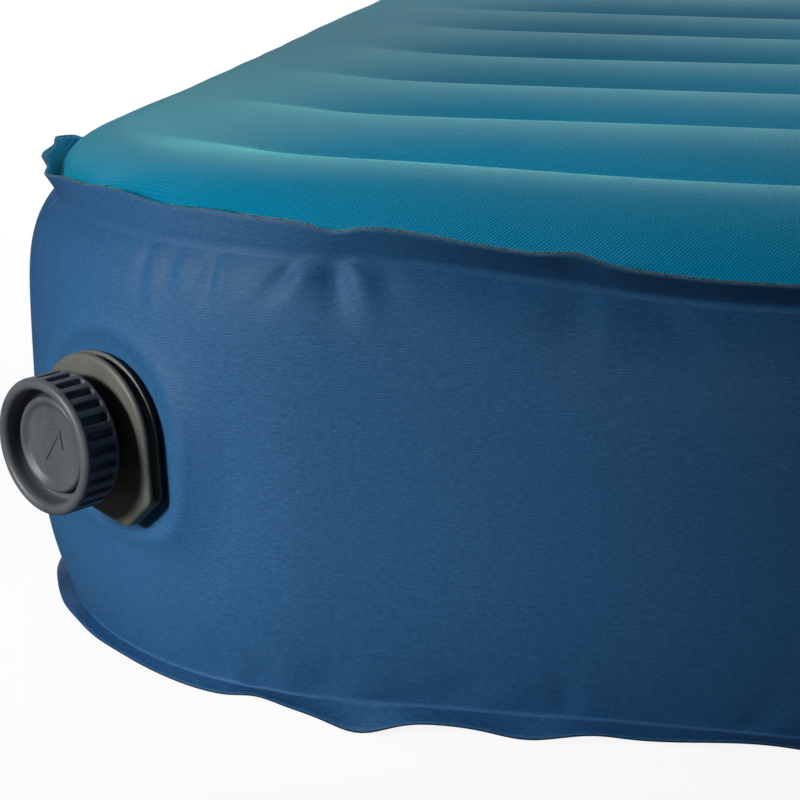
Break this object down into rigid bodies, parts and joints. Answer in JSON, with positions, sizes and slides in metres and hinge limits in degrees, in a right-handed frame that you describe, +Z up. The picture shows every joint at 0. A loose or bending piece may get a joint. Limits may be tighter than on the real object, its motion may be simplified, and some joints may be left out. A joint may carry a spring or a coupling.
{
  "type": "air mattress",
  "caption": "Self-inflating camping mattress with upright side walls, lengthwise ridges on top, welded edge flanges and screw valves at the corners of one short end.",
  "frame": {"origin": "bottom centre: middle of the length and of the width, on the ground", "axes": "+X along the length, away from the end with the valves; +Y across the width; +Z up"},
  "size_m": [1.963, 0.6566, 0.108],
  "materials": {
    "top_fabric": "fine stretch knit with a soft sheen, laminated, teal",
    "wall_fabric": "finely ribbed coated fabric with a satin sheen, deep blue",
    "base_fabric": "plain coated fabric, navy",
    "foam": "open-cell foam, cream",
    "strip_fabric": "plain woven tie fabric, off-white",
    "hard_plastic": "moulded, satin charcoal",
    "soft_plastic": "moulded, satin charcoal, weldable",
    "rubber": "matt black seal"
  },
  "bodies": {
    "mattress": {"top_sheet": "top_fabric", "side_band": "wall_fabric", "bottom_sheet": "base_fabric", "foam_layer_upper": "foam", "foam_layer_lower": "foam", "tie_strip_01": "strip_fabric", "tie_strip_02": "strip_fabric", "tie_strip_03": "strip_fabric", "tie_strip_04": "strip_fabric", "tie_strip_05": "strip_fabric", "tie_strip_06": "strip_fabric", "tie_strip_07": "strip_fabric", "tie_strip_08": "strip_fabric", "tie_strip_09": "strip_fabric", "tie_strip_10": "strip_fabric", "tie_strip_11": "strip_fabric", "out_valve_weld_flange": "soft_plastic", "out_valve_face_plate": "hard_plastic", "out_valve_barrel": "hard_plastic", "out_valve_flap_seat": "hard_plastic", "out_valve_guard_cage": "soft_plastic", "in_valve_weld_flange": "soft_plastic", "in_valve_face_plate": "hard_plastic", "in_valve_barrel": "hard_plastic", "in_valve_flap_seat": "hard_plastic", "in_valve_guard_cage": "soft_plastic"},
    "out_valve_poppet": {"out_valve_poppet": "hard_plastic", "out_valve_poppet_seal": "rubber"},
    "out_valve_cap": {"out_valve_cap": "hard_plastic", "out_valve_cap_centre": "hard_plastic", "out_valve_cap_seal": "rubber"},
    "out_valve_flap": {"out_valve_check_flap": "rubber"},
    "in_valve_poppet": {"in_valve_poppet": "hard_plastic", "in_valve_poppet_seal": "rubber"},
    "in_valve_cap": {"in_valve_cap": "hard_plastic", "in_valve_cap_centre": "hard_plastic", "in_valve_cap_seal": "rubber"},
    "in_valve_flap": {"in_valve_check_flap": "rubber"}
  },
  "joints": [
    {"name": "out_valve_poppet_lift", "type": "slide", "parent": "mattress", "child": "out_valve_poppet", "axis": [-0.5, -0.866, 0], "range_m": [0, 0.004]},
    {"name": "out_valve_cap_turn", "type": "hinge", "parent": "out_valve_poppet", "child": "out_valve_cap", "pos_m": [-0.94517, -0.3069, 0.0556], "axis": [-0.5, -0.866, 0], "range_deg": [0, 270]},
    {"name": "out_valve_flap_lift", "type": "slide", "parent": "mattress", "child": "out_valve_flap", "axis": [-0.5, -0.866, 0], "range_m": [0, 0.0012], "stiffness_N_per_m": 8},
    {"name": "in_valve_poppet_lift", "type": "slide", "parent": "mattress", "child": "in_valve_poppet", "axis": [-0.5, 0.866, 0], "range_m": [0, 0.004]},
    {"name": "in_valve_cap_turn", "type": "hinge", "parent": "in_valve_poppet", "child": "in_valve_cap", "pos_m": [-0.94517, 0.3069, 0.0556], "axis": [-0.5, 0.866, 0], "range_deg": [0, 270]},
    {"name": "in_valve_flap_lift", "type": "slide", "parent": "mattress", "child": "in_valve_flap", "axis": [0.5, -0.866, 0], "range_m": [0, 0.0012], "stiffness_N_per_m": 8}
  ],
  "couplings": [
    {"joint": "out_valve_cap_turn", "follows": "out_valve_poppet_lift", "rad_per_m": 1178},
    {"joint": "in_valve_cap_turn", "follows": "in_valve_poppet_lift", "rad_per_m": 1178}
  ]
}
